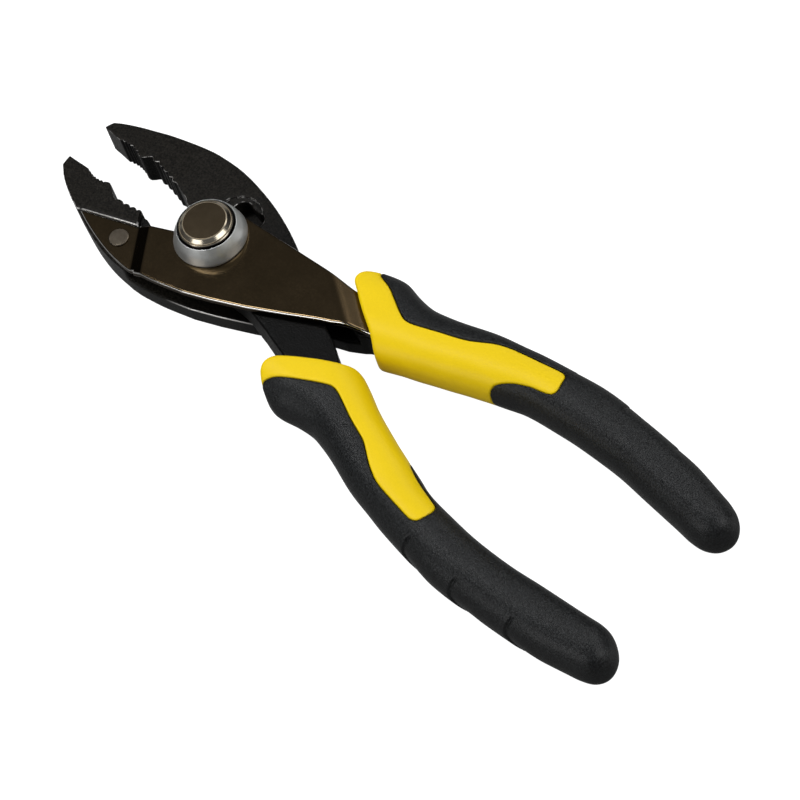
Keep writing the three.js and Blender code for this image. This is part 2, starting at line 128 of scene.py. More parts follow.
def arc(cx, cy, r, a0, a1, n):
    return [(cx + r * math.cos(math.radians(a0 + (a1 - a0) * i / n)), cy + r * math.sin(math.radians(a0 + (a1 - a0) * i / n))) for i in range(n + 1)]


def mirrored(points, s=0.0):
    return [(x, s - y) for x, y in points]


def surface_nets(field, xs, ys, zs):
    """Quads on the zero level of a field sampled on a rectilinear grid."""
    inside = field < 0
    cells = np.zeros(tuple(n - 1 for n in field.shape), np.uint8)
    for i in (0, 1):
        for j in (0, 1):
            for k in (0, 1):
                cells += inside[i:i + cells.shape[0], j:j + cells.shape[1], k:k + cells.shape[2]]
    active = (cells > 0) & (cells < 8)
    I, J, K = np.nonzero(active)
    index = np.full(cells.shape, -1, np.int64)
    index[I, J, K] = np.arange(len(I))
    v = np.empty((len(I), 2, 2, 2), np.float64)
    for i in (0, 1):
        for j in (0, 1):
            for k in (0, 1):
                v[:, i, j, k] = field[I + i, J + j, K + k]
    total, count = np.zeros((len(I), 3)), np.zeros(len(I))
    for axis in range(3):
        for m in (0, 1):
            for n in (0, 1):
                a, b = [m, n], [m, n]
                a.insert(axis, 0)
                b.insert(axis, 1)
                fa, fb = v[:, a[0], a[1], a[2]], v[:, b[0], b[1], b[2]]
                cross = (fa < 0) != (fb < 0)
                t = np.where(cross, fa / np.where(cross, fa - fb, 1), 0)
                p = np.tile(np.array(a, float), (len(I), 1))
                p[:, axis] = t
                total += p * cross[:, None]
                count += cross
    u = total / count[:, None]
    for _ in range(2):                     # settle on the level inside each cell
        x, y, z = u.T
        c00 = v[:, 0, 0, 0] * (1 - x) + v[:, 1, 0, 0] * x
        c01 = v[:, 0, 0, 1] * (1 - x) + v[:, 1, 0, 1] * x
        c10 = v[:, 0, 1, 0] * (1 - x) + v[:, 1, 1, 0] * x
        c11 = v[:, 0, 1, 1] * (1 - x) + v[:, 1, 1, 1] * x
        c0, c1 = c00 * (1 - y) + c10 * y, c01 * (1 - y) + c11 * y
        f = c0 * (1 - z) + c1 * z
        gz = c1 - c0
        gy = (c10 - c00) * (1 - z) + (c11 - c01) * z
        gx = ((v[:, 1, 0, 0] - v[:, 0, 0, 0]) * (1 - y) + (v[:, 1, 1, 0] - v[:, 0, 1, 0]) * y) * (1 - z) \
            + ((v[:, 1, 0, 1] - v[:, 0, 0, 1]) * (1 - y) + (v[:, 1, 1, 1] - v[:, 0, 1, 1]) * y) * z
        g2 = gx * gx + gy * gy + gz * gz + 1e-9
        u = np.clip(u - 0.7 * (f / g2)[:, None] * np.c_[gx, gy, gz], 0.02, 0.98)
    X, Y, Z = (np.asarray(a, float) for a in (xs, ys, zs))
    verts = np.c_[X[I] + u[:, 0] * (X[I + 1] - X[I]), Y[J] + u[:, 1] * (Y[J + 1] - Y[J]), Z[K] + u[:, 2] * (Z[K + 1] - Z[K])]
    quads = []
    nx, ny, nz = field.shape
    change = inside[:-1, 1:-1, 1:-1] != inside[1:, 1:-1, 1:-1]
    i, j, k = np.nonzero(change)
    j, k = j + 1, k + 1
    q = np.c_[index[i, j - 1, k - 1], index[i, j, k - 1], index[i, j, k], index[i, j - 1, k]]
    quads.append(np.where(inside[i, j, k][:, None], q, q[:, ::-1]))
    change = inside[1:-1, :-1, 1:-1] != inside[1:-1, 1:, 1:-1]
    i, j, k = np.nonzero(change)
    i, k = i + 1, k + 1
    q = np.c_[index[i - 1, j, k - 1], index[i - 1, j, k], index[i, j, k], index[i, j, k - 1]]
    quads.append(np.where(inside[i, j, k][:, None], q, q[:, ::-1]))
    change = inside[1:-1, 1:-1, :-1] != inside[1:-1, 1:-1, 1:]
    i, j, k = np.nonzero(change)
    i, j = i + 1, j + 1
    q = np.c_[index[i - 1, j - 1, k], index[i, j - 1, k], index[i, j, k], index[i - 1, j, k]]
    quads.append(np.where(inside[i, j, k][:, None], q, q[:, ::-1]))
    return verts, np.concatenate(quads)


def mesh_object(name, verts, faces):
    mesh = bpy.data.meshes.new(name)
    verts, faces = np.asarray(verts, float) * MM, np.asarray(faces)
    n, size = faces.shape
    mesh.vertices.add(len(verts))
    mesh.vertices.foreach_set("co", verts.astype(F32).ravel())
    mesh.loops.add(n * size)
    mesh.loops.foreach_set("vertex_index", faces.astype(np.int32).ravel())
    mesh.polygons.add(n)
    mesh.polygons.foreach_set("loop_start", np.arange(0, n * size, size, dtype=np.int32))
    mesh.update(calc_edges=True)
    mesh.validate()
    mesh.polygons.foreach_set("use_smooth", np.ones(len(mesh.polygons), bool))
    obj = bpy.data.objects.new(name, mesh)
    bpy.context.scene.collection.objects.link(obj)
    return obj


def field_object(name, field, xs, ys, zs):
    """The mesh of a field, without loose crumbs."""
    verts, quads = surface_nets(field, xs, ys, zs)
    used, back = np.unique(quads, return_inverse=True)
    verts, quads = verts[used], back.reshape(quads.shape)
    # keep the largest connected bodies only: drop crumbs of fewer than 200 points
    parent = np.arange(len(verts))
    for _ in range(400):
        low = parent[quads].min(1)
        new = parent.copy()
        for c in range(4):
            np.minimum.at(new, quads[:, c], low)
        new = new[new]
        if np.array_equal(new, parent):
            break
        parent = new
    ids, inv, cnt = np.unique(parent, return_inverse=True, return_counts=True)
    if len(ids) > 1:
        keep = cnt[inv] >= 200
        quads = quads[keep[quads].all(1)]
        used, back = np.unique(quads, return_inverse=True)
        verts, quads = verts[used], back.reshape(quads.shape)
    obj = mesh_object(name, verts, quads)
    return obj


def lathe_object(name, profile, segments=128, at=(0.0, 0.0), sharp=None):
    """A closed profile (r, z) turned about a vertical axis. Points at r = 0 become one point."""
    verts, rings, faces = [], [], []
    for r, z in profile:
        if r < 1e-6:
            rings.append([len(verts)] * segments)
            verts.append((at[0], at[1], z))
        else:
            rings.append(list(range(len(verts), len(verts) + segments)))
            verts += [(at[0] + r * math.cos(2 * math.pi * i / segments), at[1] + r * math.sin(2 * math.pi * i / segments), z) for i in range(segments)]
    pairs = list(zip(rings, rings[1:]))
    if profile[0][0] > 1e-6:
        pairs.append((rings[-1], rings[0]))
    mesh = bpy.data.meshes.new(name)
    for a, b in pairs:
        for i in range(segments):
            j = (i + 1) % segments
            f = []
            for q in (a[i], a[j], b[j], b[i]):
                if q not in f:
                    f.append(q)
            if len(f) > 2:
                faces.append(f)
    mesh.from_pydata([tuple(c * MM for c in p) for p in verts], [], faces)
    mesh.update()
    bm = bmesh.new()
    bm.from_mesh(mesh)
    bmesh.ops.recalc_face_normals(bm, faces=bm.faces)
    bm.to_mesh(mesh)
    bm.free()
    mesh.polygons.foreach_set("use_smooth", np.ones(len(mesh.polygons), bool))
    obj = bpy.data.objects.new(name, mesh)
    bpy.context.scene.collection.objects.link(obj)
    return obj


def rounded(profile, radii, steps=5):
    """A closed profile with each corner replaced by a fillet of its radius."""
    out = []
    n = len(profile)
    for i in range(n):
        p = Vector(profile[i])
        r = radii[i] if i < len(radii) else 0
        if r <= 0:
            out.append(tuple(p))
            continue
        a, b = Vector(profile[i - 1]) - p, Vector(profile[(i + 1) % n]) - p
        la, lb = a.length, b.length
        a.normalize(), b.normalize()
        half = math.acos(max(-1, min(1, a.dot(b)))) / 2
        t = min(r / max(1e-6, math.tan(half)), 0.49 * la, 0.49 * lb)
        r = t * math.tan(half)
        c = p + (a + b).normalized() * (r / math.sin(half))
        s, e = p + a * t, p + b * t
        a0, a1 = math.atan2(s.y - c.y, s.x - c.x), math.atan2(e.y - c.y, e.x - c.x)
        while a1 - a0 > math.pi:
            a1 -= 2 * math.pi
        while a1 - a0 < -math.pi:
            a1 += 2 * math.pi
        out += [(c.x + r * math.cos(a0 + (a1 - a0) * k / steps), c.y + r * math.sin(a0 + (a1 - a0) * k / steps)) for k in range(steps + 1)]
    return out


# ------------------------------------------------------------------------------------------------ materials
def base_material(name):
    m = bpy.data.materials.new(name)
    m.use_nodes = True
    nt = m.node_tree
    b = nt.nodes["Principled BSDF"]
    tc = nt.nodes.new("ShaderNodeTexCoord")
    return m, nt, b, tc


def mapping(nt, tc, scale, rotation=(0, 0, 0)):
    """Object coordinates times scale, so a scale of 1000 counts millimetres."""
    n = nt.nodes.new("ShaderNodeMapping")
    n.inputs["Scale"].default_value = scale if isinstance(scale, tuple) else (scale,) * 3
    n.inputs["Rotation"].default_value = rotation
    nt.links.new(tc.outputs["Object"], n.inputs["Vector"])
    return n


def noise(nt, vec, scale, detail=4.0, rough=0.55, distortion=0.0):
    n = nt.nodes.new("ShaderNodeTexNoise")
    n.inputs["Scale"].default_value = scale
    n.inputs["Detail"].default_value = detail
    n.inputs["Roughness"].default_value = rough
    n.inputs["Distortion"].default_value = distortion
    nt.links.new(vec.outputs[0], n.inputs["Vector"])
    return n


def ramp(nt, fac, stops):
    n = nt.nodes.new("ShaderNodeValToRGB")
    el = n.color_ramp.elements
    while len(el) < len(stops):
        el.new(0.5)
    for e, (p, c) in zip(el, stops):
        e.position = p
        e.color = (*c, 1) if len(c) == 3 else c
    nt.links.new(fac, n.inputs["Fac"])
    return n


def remap(nt, fac, lo, hi, a=0.0, b=1.0):
    n = nt.nodes.new("ShaderNodeMapRange")
    n.inputs["From Min"].default_value = a
    n.inputs["From Max"].default_value = b
    n.inputs["To Min"].default_value = lo
    n.inputs["To Max"].default_value = hi
    nt.links.new(fac, n.inputs["Value"])
    return n


def bump(nt, height, strength, distance, normal=None):
    n = nt.nodes.new("ShaderNodeBump")
    n.inputs["Strength"].default_value = strength
    n.inputs["Distance"].default_value = distance
    nt.links.new(height, n.inputs["Height"])
    if normal is not None:
        nt.links.new(normal.outputs["Normal"], n.inputs["Normal"])
    return n


def mix_colour(nt, fac, a, b):
    n = nt.nodes.new("ShaderNodeMix")
    n.data_type = "RGBA"
    nt.links.new(fac, n.inputs["Factor"])
    for s, v in (("A", a), ("B", b)):
        sock = [i for i in n.inputs if i.name == s and i.type == "RGBA"][0]
        if isinstance(v, tuple):
            sock.default_value = (*v, 1)
        else:
            nt.links.new(v, sock)
    return [o for o in n.outputs if o.type == "RGBA"][0]


def times(nt, a, b):
    n = nt.nodes.new("ShaderNodeMath")
    n.operation = "MULTIPLY"
    nt.links.new(a, n.inputs[0])
    nt.links.new(b, n.inputs[1])
    return n.outputs[0]


def edge_mask(nt, tc, stops=((0.22, 0.0), (0.42, 1.0), (0.72, 1.0), (0.86, 0.0))):
    """1 on the rounded upper edges, where the surface turns from the top face to a wall, 0 elsewhere."""
    sep = nt.nodes.new("ShaderNodeSeparateXYZ")
    nt.links.new(tc.outputs["Normal"], sep.inputs[0])
    return ramp(nt, sep.outputs[2], [(p, (v, v, v)) for p, v in stops])


def forged_black(name):
    """Black oxide on a forging: grainy, a shade lighter toward the jaws, edges worn a little brighter."""
    m, nt, b, tc = base_material(name)
    v = mapping(nt, tc, 1000.0)
    broad = noise(nt, v, 0.18, 5, 0.6)
    grain = noise(nt, v, 2.0, 3, 0.65)
    sep = nt.nodes.new("ShaderNodeSeparateXYZ")
    nt.links.new(v.outputs[0], sep.inputs[0])
    jaws = remap(nt, sep.outputs[0], 1.0, 0.0, -2.0, 24.0)
    light = mix_colour(nt, remap(nt, grain.outputs["Fac"], 0, 1, 0.36, 0.66).outputs[0], (0.0014, 0.0013, 0.0010), (0.0150, 0.0132, 0.0106))
    dark = mix_colour(nt, grain.outputs["Fac"], (0.0004, 0.0004, 0.0004), (0.0018, 0.0018, 0.0016))
    col = mix_colour(nt, jaws.outputs[0], dark, light)
    # painted shade: the walls and lower faces between the jaws are painted near-black with a few lighter specks; the
    # walls of the tip pads are left bare and sparkle
    nz = nt.nodes.new("ShaderNodeSeparateXYZ")
    nt.links.new(tc.outputs["Normal"], nz.inputs[0])
    wall = remap(nt, nz.outputs[2], 1.0, 0.0, 0.25, 0.45)
    painted_jaw_wall_shade = ramp(nt, noise(nt, v, 3.0, 2, 0.7).outputs["Fac"], [(0.50, (0.0012, 0.0012, 0.0011)), (0.72, (0.022, 0.021, 0.020))])
    mouth = remap(nt, sep.outputs[1], 0.0, 1.0, -12.0, -9.5)
    ahead = remap(nt, sep.outputs[0], 1.0, 0.0, -14.0, -9.0)
    deep = nt.nodes.new("ShaderNodeMath")
    deep.operation = "MAXIMUM"
    nt.links.new(wall.outputs[0], deep.inputs[0])
    nt.links.new(remap(nt, sep.outputs[2], 1.0, 0.0, 8.9, 9.4).outputs[0], deep.inputs[1])
    col = mix_colour(nt, times(nt, deep.outputs[0], times(nt, ahead.outputs[0], mouth.outputs[0])), col, painted_jaw_wall_shade.outputs["Color"])
    # painted reflection: the long outer wall of the lower half is painted a lighter grey for the pale floor it faces
    outside = remap(nt, sep.outputs[1], 1.0, 0.0, -12.0, -7.0)
    col = mix_colour(nt, times(nt, wall.outputs[0], outside.outputs[0]), col, (0.020, 0.020, 0.019))
    # painted sparkle: the tip pad walls get a lighter bare grey, flecked with bright specks that stand in for glints
    tip = remap(nt, sep.outputs[0], 1.0, 0.0, -42.9, -42.5)
    spark = ramp(nt, noise(nt, v, 5.0, 2, 0.7).outputs["Fac"], [(0.40, (0.012, 0.012, 0.011)), (0.70, (0.085, 0.083, 0.078))])
    col = mix_colour(nt, times(nt, wall.outputs[0], tip.outputs[0]), col, spark.outputs["Color"])
    # bright glints on the upper edges of the jaws, and one rubbed edge beside the plate
    glint = ramp(nt, noise(nt, v, 0.8, 3, 0.65).outputs["Fac"], [(0.48, (0.03, 0.03, 0.03)), (0.64, (0.85, 0.85, 0.85))])
    glint = times(nt, glint.outputs["Color"], jaws.outputs[0])
    glint = times(nt, glint, remap(nt, sep.outputs[2], 0.12, 1.0, 8.9, 9.3).outputs[0])
    ends = nt.nodes.new("ShaderNodeMath")
    ends.operation = "MAXIMUM"
    nt.links.new(remap(nt, sep.outputs[0], 1.0, 0.0, -24.0, -22.5).outputs[0], ends.inputs[0])
    nt.links.new(remap(nt, sep.outputs[1], 0.0, 1.0, -1.0, 1.0).outputs[0], ends.inputs[1])
    glint = times(nt, glint, ends.outputs[0])
    across = nt.nodes.new("ShaderNodeVectorMath")
    across.operation = "DOT_PRODUCT"
    across.inputs[1].default_value = (-0.332, 0.943, 0.0)
    nt.links.new(v.outputs[0], across.inputs[0])
    near = nt.nodes.new("ShaderNodeMath")
    near.operation = "COMPARE"
    nt.links.new(across.outputs["Value"], near.inputs[0])
    near.inputs[1].default_value = -1.6
    near.inputs[2].default_value = 0.9
    most = nt.nodes.new("ShaderNodeMath")
    most.operation = "MAXIMUM"
    nt.links.new(glint, most.inputs[0])
    nt.links.new(times(nt, near.outputs[0], remap(nt, sep.outputs[0], 0.0, 1.0, -34.4, -33.2).outputs[0]), most.inputs[1])
    rim = nt.nodes.new("ShaderNodeMath")
    rim.operation = "COMPARE"
    nt.links.new(sep.outputs[2], rim.inputs[0])
    rim.inputs[1].default_value = 4.75
    rim.inputs[2].default_value = 0.26
    all_worn = nt.nodes.new("ShaderNodeMath")
    all_worn.operation = "MAXIMUM"
    nt.links.new(most.outputs[0], all_worn.inputs[0])
    behind = remap(nt, sep.outputs[0], 0.0, 0.75, -1.0, 7.0)
    nt.links.new(times(nt, rim.outputs[0], times(nt, outside.outputs[0], behind.outputs[0])), all_worn.inputs[1])
    worn = times(nt, edge_mask(nt, tc).outputs["Color"], all_worn.outputs[0])
    col = mix_colour(nt, worn, col, (0.82, 0.80, 0.77))
    nt.links.new(col, b.inputs["Base Color"])
    nt.links.new(worn, b.inputs["Metallic"])
    b.inputs["Specular IOR Level"].default_value = 0.12
    nt.links.new(remap(nt, grain.outputs["Fac"], 0.30, 0.46, 0.3, 0.7).outputs[0], b.inputs["Roughness"])
    fine = bump(nt, grain.outputs["Fac"], 0.8, 0.00013)
    wide = bump(nt, broad.outputs["Fac"], 0.20, 0.0005, fine)
    nt.links.new(wide.outputs["Normal"], b.inputs["Normal"])
    return m


def black_nickel(name, base=(0.104, 0.073, 0.039), dark=(0.084, 0.059, 0.031), angle=0.30, rough=(0.10, 0.18)):
    m, nt, b, tc = base_material(name)
    v = mapping(nt, tc, (60.0, 5200.0, 1000.0), (0, 0, -angle))
    lines = noise(nt, v, 1.0, 3, 0.6)
    w = mapping(nt, tc, 1000.0)
    cloud = noise(nt, w, 0.12, 4, 0.55)
    speck = noise(nt, w, 2.6, 2, 0.5)
    col = mix_colour(nt, remap(nt, cloud.outputs["Fac"], 0, 1, 0.35, 0.65).outputs[0], dark, base)
    col = mix_colour(nt, edge_mask(nt, tc, ((0.18, 0.0), (0.34, 1.0), (0.66, 1.0), (0.78, 0.0))).outputs["Color"], col, (0.84, 0.83, 0.81))
    nt.links.new(col, b.inputs["Base Color"])
    b.inputs["Metallic"].default_value = 1.0
    r = nt.nodes.new("ShaderNodeMath")
    r.operation = "MULTIPLY_ADD"
    nt.links.new(lines.outputs["Fac"], r.inputs[0])
    r.inputs[1].default_value = rough[1] - rough[0]
    nt.links.new(remap(nt, speck.outputs["Fac"], rough[0] - 0.03, rough[0] + 0.05, 0.3, 0.7).outputs[0], r.inputs[2])
    nt.links.new(r.outputs[0], b.inputs["Roughness"])
    one = bump(nt, lines.outputs["Fac"], 0.10, 0.00002)
    two = bump(nt, speck.outputs["Fac"], 0.05, 0.00003, one)
    nt.links.new(two.outputs["Normal"], b.inputs["Normal"])
    return m


def turned_metal(name, base, dark, rough=(0.22, 0.36), centre=(0.0, 0.0), grooves=9.0, depth=0.000012, bevel=None, rim=None, metallic=1.0, shade_radius=None):
    """Metal turned on a lathe: fine rings about a vertical axis, a colour of its own on bevels, a painted highlight
    line at the rim of the top face, and painted shade, black, beyond a given radius.
    """
    m, nt, b, tc = base_material(name)
    v = nt.nodes.new("ShaderNodeMapping")
    v.inputs["Scale"].default_value = (1000.0, 1000.0, 1000.0)
    v.vector_type = "POINT"
    shift = nt.nodes.new("ShaderNodeVectorMath")
    shift.operation = "SUBTRACT"
    shift.inputs[1].default_value = (centre[0] * MM, centre[1] * MM, 0)
    nt.links.new(tc.outputs["Object"], shift.inputs[0])
    nt.links.new(shift.outputs[0], v.inputs["Vector"])
    sep = nt.nodes.new("ShaderNodeSeparateXYZ")
    nt.links.new(v.outputs[0], sep.inputs[0])
    flat = nt.nodes.new("ShaderNodeCombineXYZ")
    nt.links.new(sep.outputs[0], flat.inputs[0])
    nt.links.new(sep.outputs[1], flat.inputs[1])
    length = nt.nodes.new("ShaderNodeVectorMath")
    length.operation = "LENGTH"
    nt.links.new(flat.outputs[0], length.inputs[0])
    comb = nt.nodes.new("ShaderNodeCombineXYZ")
    nt.links.new(length.outputs["Value"], comb.inputs[0])
    nt.links.new(sep.outputs[2], comb.inputs[2])
    rings = noise(nt, comb, grooves, 3, 0.6)
    cloud = noise(nt, v, 0.5, 4, 0.6)
    col = mix_colour(nt, remap(nt, cloud.outputs["Fac"], 0, 1, 0.35, 0.65).outputs[0], dark, base)
    if bevel:
        col = mix_colour(nt, edge_mask(nt, tc, ((0.10, 0.0), (0.30, 1.0), (0.90, 1.0), (0.97, 0.0))).outputs["Color"], col, bevel)
    b.inputs["Metallic"].default_value = metallic
    # painted highlight: the rim colour, only partly metallic, lies on the nearly flat rounding at the top face's edge
    # as a light line seen from every side
    if rim:
        line = edge_mask(nt, tc, ((0.86, 0.0), (0.88, 1.0), (0.955, 1.0), (0.975, 0.0)))
        col = mix_colour(nt, line.outputs["Color"], col, rim)
        nt.links.new(remap(nt, line.outputs["Color"], metallic, 0.3).outputs[0], b.inputs["Metallic"])
    # painted shade: beyond this radius the outer step is painted black for the shadowed gap between the button and the
    # collar
    if shade_radius:
        col = mix_colour(nt, remap(nt, length.outputs["Value"], 0.0, 1.0, shade_radius - 0.05, shade_radius + 0.1).outputs[0], col, (0.006, 0.005, 0.004))
    nt.links.new(col, b.inputs["Base Color"])
    nt.links.new(remap(nt, rings.outputs["Fac"], rough[0], rough[1], 0.3, 0.7).outputs[0], b.inputs["Roughness"])
    nt.links.new(bump(nt, rings.outputs["Fac"], 0.12, depth).outputs["Normal"], b.inputs["Normal"])
    return m


def moulded(name, base, dark, rough, grain_scale, grain_depth, spec=0.5, strength=0.5, spread=(0.30, 0.70), cloud=0.4):
    """Moulded plastic or rubber with a spark-eroded grain."""
    m, nt, b, tc = base_material(name)
    v = mapping(nt, tc, 1000.0)
    grain = noise(nt, v, grain_scale, 2.5, 0.65)
    broad = noise(nt, v, 0.09, 4, 0.55)
    both = nt.nodes.new("ShaderNodeMath")
    both.operation = "MULTIPLY_ADD"
    nt.links.new(grain.outputs["Fac"], both.inputs[0])
    both.inputs[1].default_value = 1 - cloud
    nt.links.new(remap(nt, broad.outputs["Fac"], 0.0, cloud).outputs[0], both.inputs[2])
    col = mix_colour(nt, remap(nt, both.outputs[0], 0, 1, *spread).outputs[0], dark, base)
    nt.links.new(col, b.inputs["Base Color"])
    b.inputs["Specular IOR Level"].default_value = spec
    nt.links.new(remap(nt, grain.outputs["Fac"], rough[0], rough[1], 0.3, 0.7).outputs[0], b.inputs["Roughness"])
    nt.links.new(bump(nt, grain.outputs["Fac"], strength, grain_depth).outputs["Normal"], b.inputs["Normal"])
    return m


MAT = {
    "black_steel": forged_black("black_steel"),
    "black_nickel": black_nickel("black_nickel"),
    "rivet_steel": turned_metal("rivet_steel", (0.140, 0.118, 0.090), (0.096, 0.080, 0.061), (0.30, 0.42), RIVET, 6.0),
    "pin_steel": turned_metal("pin_steel", (0.30, 0.29, 0.28), (0.22, 0.21, 0.20)),
    "spring_steel": turned_metal("spring_steel", (0.50, 0.50, 0.49), (0.38, 0.38, 0.37)),
    "satin_zinc": turned_metal("satin_zinc", (0.69, 0.705, 0.69), (0.61, 0.62, 0.605), (0.36, 0.44), (0, 0), 7.0, 0.000004, metallic=0.9),
    "button_nickel": turned_metal("button_nickel", (0.172, 0.128, 0.078), (0.146, 0.108, 0.064), (0.17, 0.22), (0, 0), 10.0, 0.000002, (0.42, 0.375, 0.295), (0.30, 0.245, 0.165), shade_radius=6.72),
    "yellow_plastic": moulded("yellow_plastic", (0.785, 0.556, 0.003), (0.72, 0.506, 0.002), (0.38, 0.48), 2.2, 0.00003, 0.20, 0.25),
    "black_rubber": moulded("black_rubber", (0.0140, 0.0155, 0.0162), (0.0003, 0.0004, 0.0005), (0.35, 0.43), 2.5, 0.00017, 0.32, 0.85, (0.40, 0.66), 0.06),
}


def dress(obj, slot, body, *nodes, material=None):
    obj.data.materials.clear()
    obj.data.materials.append(MAT[material or slot])
    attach(obj, body)
    if nodes:
        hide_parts(*nodes)
    return obj


# ------------------------------------------------------------------------------------------------ outlines (mm)
def serrations(x0, x1, base, n=6, depth=0.42):
    """Fine teeth along a line y = base(t): a notch, then a small flat."""
    p = (x1 - x0) / n
    out = []
    for i in range(n):
        out.append((x0 + p * (i + 0.5), base((i + 0.5) / n) + depth))
        out.append((x0 + p * (i + 1) - 0.12, base((i + 1) / n)))
        out.append((x0 + p * (i + 1) + 0.08, base((i + 1) / n)))
    return out


def scallops(gullets, height):
    """Round teeth that stand up between gullets; the sign of height is the side they stand on."""
    out = []
    for (ax, ay), (bx, by) in zip(gullets, gullets[1:]):
        for k in range(8):
            t = k / 8
            out.append((ax + (bx - ax) * t, ay + (by - ay) * t + height * (1 - abs(2 * t - 1) ** 2.3)))
    return out


def fixed_edge():
    """Edge of the fixed jaw that faces the other one: smooth pad, fine serrations, ridge, coarse teeth."""
    e = [(-49.2, -4.85), (-42.2, -4.48)] + serrations(-42.2, -35.4, lambda t: -4.48 - 0.62 * math.sin(math.pi * t), depth=-0.42)
    e += [(-34.9, -4.2), (-34.3, -4.12), (-33.6, -4.35), (-32.6, -4.95), (-31.5, -5.7), (-30.4, -6.4)]
    e += scallops([(-29.3, -6.6), (-26.6, -6.4), (-24.5, -6.1), (-22.5, -5.7), (-20.9, -5.35)], 0.66)
    return e + [(-20.5, -5.25), (-19.6, -5.2), (-18.6, -5.45), (-17.3, -5.95), (-16.1, -6.15), (-14.6, -6.0)]


def moving_edge():
    """Edge of the moving jaw: the same run of pad, serrations, ridge and teeth, ending in a plain lip by the joint."""
    e = [(-48.6, 6.65), (-42.2, 6.3)] + serrations(-42.2, -35.4, lambda t: 6.26 + 0.55 * math.sin(math.pi * t))
    e += [(-34.8, 5.98), (-34.2, 5.9), (-33.6, 6.02), (-33.0, 6.5), (-32.1, 7.5)]
    e += scallops([(-31.4, 7.95), (-29.0, 7.95), (-26.9, 7.65), (-24.7, 7.28), (-22.6, 6.85), (-20.8, 6.35)], -0.68)
    return e + [(-20.4, 6.15), (-18.8, 5.65), (-17.0, 5.1), (-15.2, 4.6)]


EDGE = fixed_edge()
MOV_EDGE = moving_edge()
FIX_OUTER = catmull([(-12.4, -19.0), (-19.7, -18.6), (-26.9, -17.2), (-34.7, -14.75), (-40.2, -12.75), (-45.4, -10.2), (-48.8, -7.7)], 5)
LOWER_EDGE = [(46.0, 3.7), (43.0, 2.1), (40.0, 1.0), (37.6, -0.2), (29.7, -4.5), (21.6, -8.7), (13.0, -12.6)] + catmull([(6.2, -15.3), (-1.7, -17.45), (-6.6, -18.4), (-9.6, -18.85)], 4)
SLOT_COVER = [(-6.3, 9.4), (-5.5, 12.6), (-4.0, 14.5), (-1.2, 15.3), (2.4, 15.2), (6.0, 14.2), (10.0, 12.7), (16.0, 11.2)]
TANG = [(44.0, 8.7, 4.7), (50.0, 10.5, 4.4), (56.5, 12.5, 4.1), (62.0, 14.2, 3.7), (68.0, 16.0, 3.4), (80.3, 19.7, 3.2), (92.7, 22.2, 3.0), (105.5, 23.2, 2.8), (116.0, 23.2, 2.4)]
MOV_OUTER = [(50.2, -6.4), (48.6, -4.0), (44.0, -1.35), (39.4, 0.55), (30.0, 4.7)] + catmull([(25.0, 7.7), (19.6, 10.8), (14.0, 13.3), (8.4, 15.35), (2.5, 17.0), (-4.5, 18.35), (-10.7, 18.95), (-17.0, 18.75), (-20.9, 18.25), (-26.0, 17.15), (-32.6, 15.35), (-36.6, 13.95), (-40.9, 12.4), (-45.3, 10.5), (-47.8, 9.1)], 4)


def tang_outline(grow=0.0):
    left, right = [], []
    for i, (x, y, h) in enumerate(TANG):
        a, b = TANG[max(0, i - 1)], TANG[min(len(TANG) - 1, i + 1)]
        dx, dy = b[0] - a[0], b[1] - a[1]
        l = math.hypot(dx, dy)
        ex = grow if i == len(TANG) - 1 else (-grow if i == 0 else 0)
        left.append((x - dy / l * (h + grow) + ex, y + dx / l * (h + grow)))
        right.append((x + dy / l * (h + grow) + ex, y - dx / l * (h + grow)))
    return left + right[::-1]


def tip_thin(X):
    """Share of the full thickness that the jaws keep at X: they thin toward the tip on both faces."""
    return (1 - 0.1154 * np.clip((-20 - X) / 28.6, 0, 1.3)).astype(F32)


def edge_radius(xs, ys, edge, near, far):
    """Rounding radius over the grid: small along the gripping edge, larger on the forged outline."""
    px, py = np.meshgrid(xs, ys, indexing="ij")
    d2 = np.full(px.shape, 1e9, F32)
    p = np.asarray(edge, F32)
    for (ax, ay), (bx, by) in zip(p[:-1], p[1:]):
        ex, ey = bx - ax, by - ay
        t = np.clip(((px - ax) * ex + (py - ay) * ey) / max(1e-9, ex * ex + ey * ey), 0, 1)
        np.minimum(d2, (px - ax - ex * t) ** 2 + (py - ay - ey * t) ** 2, out=d2)
    return (near + (far - near) * smooth((np.sqrt(d2) - 0.8) / 2.2)).astype(F32)


